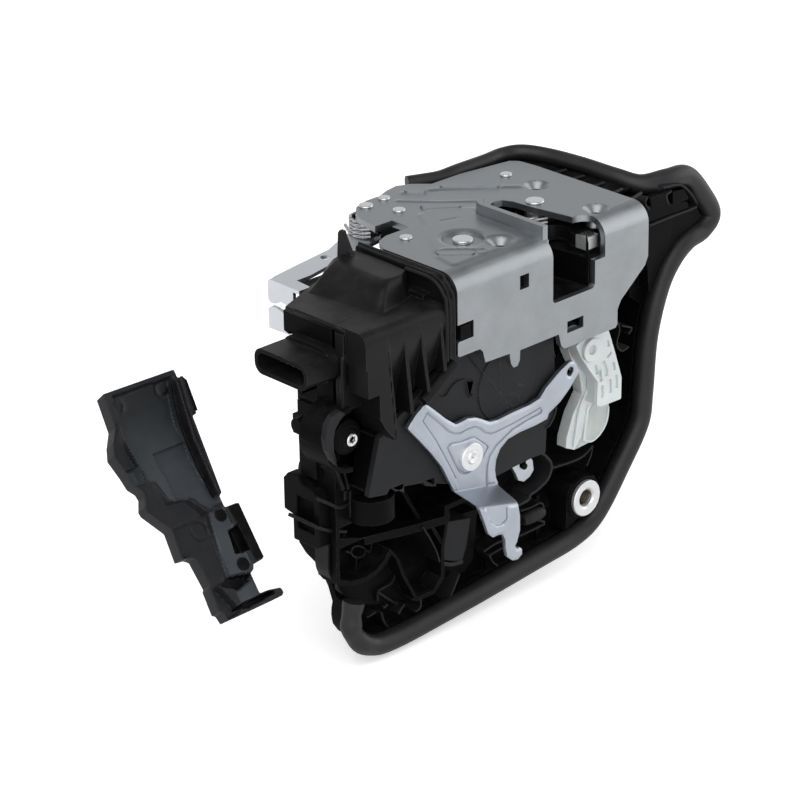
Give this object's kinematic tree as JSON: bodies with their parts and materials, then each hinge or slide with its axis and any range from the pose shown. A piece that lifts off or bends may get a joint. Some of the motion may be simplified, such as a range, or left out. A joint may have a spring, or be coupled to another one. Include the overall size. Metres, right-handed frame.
{
  "type": "door latch actuator",
  "caption": "Vehicle side-door latch with rotary claw, lock actuator, levers, foam seal and connector, with its cable cover taken off.",
  "frame": {"origin": "axis of the latched striker leg in the face of the latch plate, which is the centre of the circle through the three fixing holes", "axes": "+Z leaves the latch face, +Y goes into the door away from the front flange, +X runs to the right of the face"},
  "size_m": [0.2837, 0.0985, 0.1589],
  "materials": {
    "zinc_sheet": "satin stamped zinc plated steel",
    "bright_steel": "bright zinc plated, fine turned",
    "hard_steel": "ground steel, satin",
    "lever_zinc": "pale blue passivated zinc sheet",
    "black_plastic": "fine spark-eroded grain",
    "cover_plastic": "fine grain, slightly lighter",
    "seal_foam": "matt foam rubber with skin",
    "buffer_rubber": "matt",
    "white_plastic": "natural acetal",
    "shield_plastic": "milky, half translucent",
    "contact_brass": "tinned",
    "motor_can": "plain steel can",
    "wheel_plastic": "natural acetal"
  },
  "bodies": {
    "frame": {"latch_plate": "zinc_sheet", "plate_rivets": "bright_steel", "back_plate": "hard_steel", "latch_housing": "black_plastic", "throat_buffer": "buffer_rubber", "claw_pin": "bright_steel", "pawl_pin": "bright_steel", "claw_spring": "hard_steel", "pawl_spring": "hard_steel", "outside_lever_pin": "bright_steel", "outside_lever_spring": "hard_steel", "base_carrier": "black_plastic", "perimeter_seal": "seal_foam", "threaded_insert": "bright_steel", "actuator_case": "black_plastic", "upper_case": "black_plastic", "front_cover": "cover_plastic", "drive_cap": "cover_plastic", "case_screw": "bright_steel", "connector_shell": "black_plastic", "connector_pins": "contact_brass", "switch_box": "black_plastic", "lead_frame": "contact_brass", "micro_switches": "black_plastic", "release_lever_pin": "bright_steel", "lever_bumper": "buffer_rubber", "lock_lever_pin": "bright_steel", "key_lever_pin": "hard_steel", "lock_motor": "motor_can", "wheel_axle": "hard_steel"},
    "claw_body": {"claw": "hard_steel", "claw_overmould": "black_plastic"},
    "pawl_body": {"pawl": "hard_steel"},
    "outside_lever_body": {"outside_lever": "lever_zinc"},
    "release_lever_body": {"release_lever": "lever_zinc"},
    "lock_lever_body": {"lock_lever": "white_plastic"},
    "lock_link_body": {"lock_link": "white_plastic", "link_shield": "shield_plastic"},
    "key_lever_body": {"key_lever": "lever_zinc"},
    "worm_body": {"motor_worm": "contact_brass"},
    "wheel_body": {"worm_wheel": "wheel_plastic"},
    "cover_body": {"cable_cover": "cover_plastic"}
  },
  "joints": [
    {"name": "claw_turn", "type": "hinge", "parent": "frame", "child": "claw_body", "pos_m": [0.0127, 0.0028, -0.0097], "axis": [0, 0, -1], "range_deg": [0, 65]},
    {"name": "pawl_turn", "type": "hinge", "parent": "frame", "child": "pawl_body", "pos_m": [-0.0328, -0.0047, -0.0097], "axis": [0, 0, -1], "range_deg": [0, 9]},
    {"name": "outside_lever_turn", "type": "hinge", "parent": "frame", "child": "outside_lever_body", "pos_m": [-0.0351, 0.045, -0.0117], "axis": [0, 0, -1], "range_deg": [0, 22], "stiffness_Nm_per_rad": 0.02},
    {"name": "release_lever_turn", "type": "hinge", "parent": "frame", "child": "release_lever_body", "pos_m": [-0.0513, -0.0254, -0.0748], "axis": [0, -1, 0], "range_deg": [0, 14]},
    {"name": "lock_lever_turn", "type": "hinge", "parent": "frame", "child": "lock_lever_body", "pos_m": [0.019, -0.018, -0.055], "axis": [0, -1, 0], "range_deg": [0, 20]},
    {"name": "lock_link_turn", "type": "hinge", "parent": "frame", "child": "lock_link_body", "pos_m": [0.019, -0.013, -0.055], "axis": [0, -1, 0], "range_deg": [0, 10]},
    {"name": "key_lever_turn", "type": "hinge", "parent": "frame", "child": "key_lever_body", "pos_m": [-0.0155, -0.018, -0.0935], "axis": [0, -1, 0], "range_deg": [0, 30]},
    {"name": "wheel_turn", "type": "hinge", "parent": "frame", "child": "wheel_body", "pos_m": [-0.027, -0.003, -0.052], "axis": [0, -1, 0], "range_deg": [0, 90]},
    {"name": "worm_turn", "type": "hinge", "parent": "frame", "child": "worm_body", "pos_m": [-0.03, -0.003, -0.0695], "axis": [1, 0, 0], "range_deg": [0, 2520]},
    {"name": "cover_slide", "type": "slide", "parent": "frame", "child": "cover_body", "axis": [-1, 0, 0], "range_m": [0, 0.03]}
  ],
  "couplings": [
    {"joint": "worm_turn", "follows": "wheel_turn", "ratio": 28},
    {"joint": "lock_link_turn", "follows": "lock_lever_turn", "ratio": 0.5}
  ]
}
